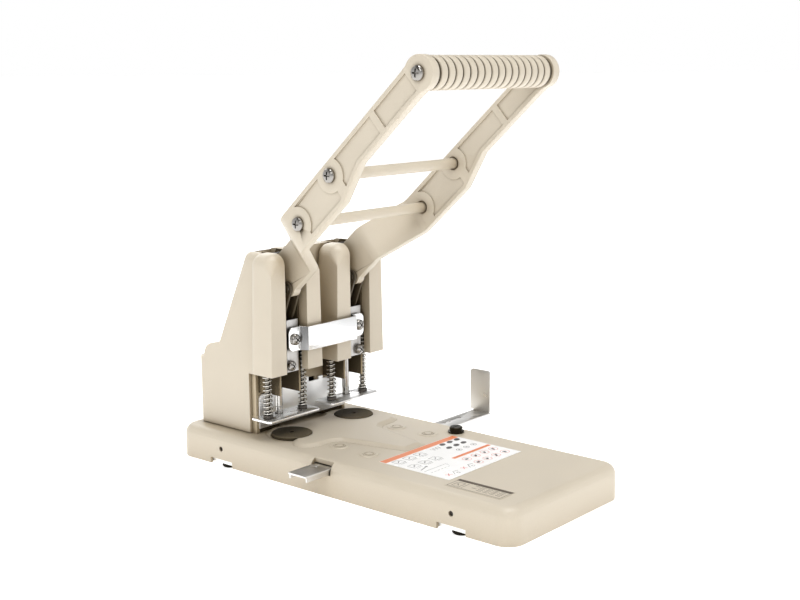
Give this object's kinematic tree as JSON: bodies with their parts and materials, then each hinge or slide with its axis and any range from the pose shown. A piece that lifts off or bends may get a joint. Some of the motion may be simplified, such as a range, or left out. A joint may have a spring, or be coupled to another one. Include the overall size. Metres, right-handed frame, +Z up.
{
  "type": "two-hole paper punch",
  "caption": "Heavy-duty paper punch with a long sprung lever, ringed cross grip, linked punch carriage, turning cutting discs, side gauge and chip drawer.",
  "frame": {"origin": "centre of the four foot holes, on the surface the punch stands on", "axes": "+Z up, +Y to the back (the head's end), +X to the side where the gauge flag stands"},
  "size_m": [0.2296, 0.345, 0.333],
  "materials": {
    "cover_cream": "satin, fine moulded texture",
    "arm_cream": "satin stoved paint over a casting",
    "grip_cream": "satin",
    "frame_tan": "satin paint on folded sheet",
    "inner_steel": "zinc plated",
    "bright_plate": "polished plating",
    "punch_steel": "ground and hardened",
    "carrier_steel": "machined",
    "link_steel": "blackened",
    "spring_steel": "drawn wire",
    "screw_steel": "nickel plated",
    "dark_steel": "blackened, oiled",
    "disc_dark": "semi-matte",
    "knob_black": "satin",
    "foot_rubber": "matte",
    "gauge_steel": "zinc plated",
    "label_white": "printed film",
    "print_tan": "printed film",
    "bush_bronze": "sintered"
  },
  "bodies": {
    "base": {"base_cover": "cover_cream", "base_frame": "inner_steel", "bottom_tray": "inner_steel", "feet": "foot_rubber", "tray_screws": "dark_steel", "screw_caps": "cover_cream", "instruction_label": "label_white", "printed_panel": "print_tan", "gauge_guide": "frame_tan", "gauge_clamp": "inner_steel", "chassis_left": "frame_tan", "chassis_right": "frame_tan", "chassis_bridge": "frame_tan", "chassis_bolts": "inner_steel", "chip_chutes": "inner_steel", "paper_stop": "bright_plate", "pivot_pins": "punch_steel", "stop_pins": "punch_steel", "return_springs": "spring_steel", "head_cover": "cover_cream", "cover_screws": "screw_steel"},
    "handle": {"arm_left": "arm_cream", "arm_right": "arm_cream", "pivot_bushes": "bush_bronze", "grip_core": "inner_steel", "grip_sleeve": "grip_cream", "grip_collars": "knob_black", "tie_rod_upper": "arm_cream", "tie_rod_lower": "arm_cream", "arm_screws": "screw_steel", "link_pins": "punch_steel"},
    "links": {"link_left": "link_steel", "link_right": "link_steel"},
    "carriage": {"carrier_left": "carrier_steel", "carrier_right": "carrier_steel", "punch_left": "punch_steel", "punch_right": "punch_steel", "cross_strap": "bright_plate", "strap_screws": "screw_steel", "carrier_pins": "punch_steel"},
    "pressers": {"pressure_plate_left": "bright_plate", "pressure_plate_right": "bright_plate", "guide_rods": "punch_steel", "rod_nuts": "dark_steel", "pressure_springs": "spring_steel"},
    "cutting_disc_left": {"disc_left": "disc_dark"},
    "cutting_disc_right": {"disc_right": "disc_dark"},
    "side_gauge": {"gauge_strip": "gauge_steel"},
    "lock_knob": {"gauge_knob": "knob_black"},
    "drawer": {"chip_drawer": "cover_cream"}
  },
  "joints": [
    {"name": "handle_hinge", "type": "hinge", "parent": "base", "child": "handle", "pos_m": [0, 0.086, 0.156], "axis": [1, 0, 0], "range_deg": [0, 40], "stiffness_Nm_per_rad": 1.2, "springref_deg": -148.97},
    {"name": "link_swing", "type": "hinge", "parent": "handle", "child": "links", "pos_m": [0, 0.068, 0.1525], "axis": [1, 0, 0], "range_deg": [-49, 0]},
    {"name": "carriage_slide", "type": "slide", "parent": "base", "child": "carriage", "axis": [0, 0, -1], "range_m": [0, 0.0126]},
    {"name": "presser_slide", "type": "slide", "parent": "carriage", "child": "pressers", "axis": [0, 0, 1], "range_m": [0, 0.0125], "stiffness_N_per_m": 1200, "springref_m": -0.02, "deforming": ["pressure_springs"]},
    {"name": "disc_left_turn", "type": "hinge", "parent": "base", "child": "cutting_disc_left", "pos_m": [-0.0372, 0.0718, 0.0329], "axis": [0, 0, 1], "continuous": true},
    {"name": "disc_right_turn", "type": "hinge", "parent": "base", "child": "cutting_disc_right", "pos_m": [0.0372, 0.0718, 0.0329], "axis": [0, 0, 1], "continuous": true},
    {"name": "gauge_slide", "type": "slide", "parent": "base", "child": "side_gauge", "axis": [1, 0, 0], "range_m": [-0.058, 0.025]},
    {"name": "lock_knob_turn", "type": "hinge", "parent": "base", "child": "lock_knob", "pos_m": [0.0543, -0.0261, 0.03], "axis": [0, 0, 1], "range_deg": [0, 270]},
    {"name": "drawer_slide", "type": "slide", "parent": "base", "child": "drawer", "axis": [0, 1, 0], "range_m": [0, 0.034]}
  ],
  "couplings": [
    {"joint": "carriage_slide", "follows": "handle_hinge", "m_per_rad": 0.018},
    {"joint": "link_swing", "follows": "handle_hinge", "ratio": -1.216}
  ]
}
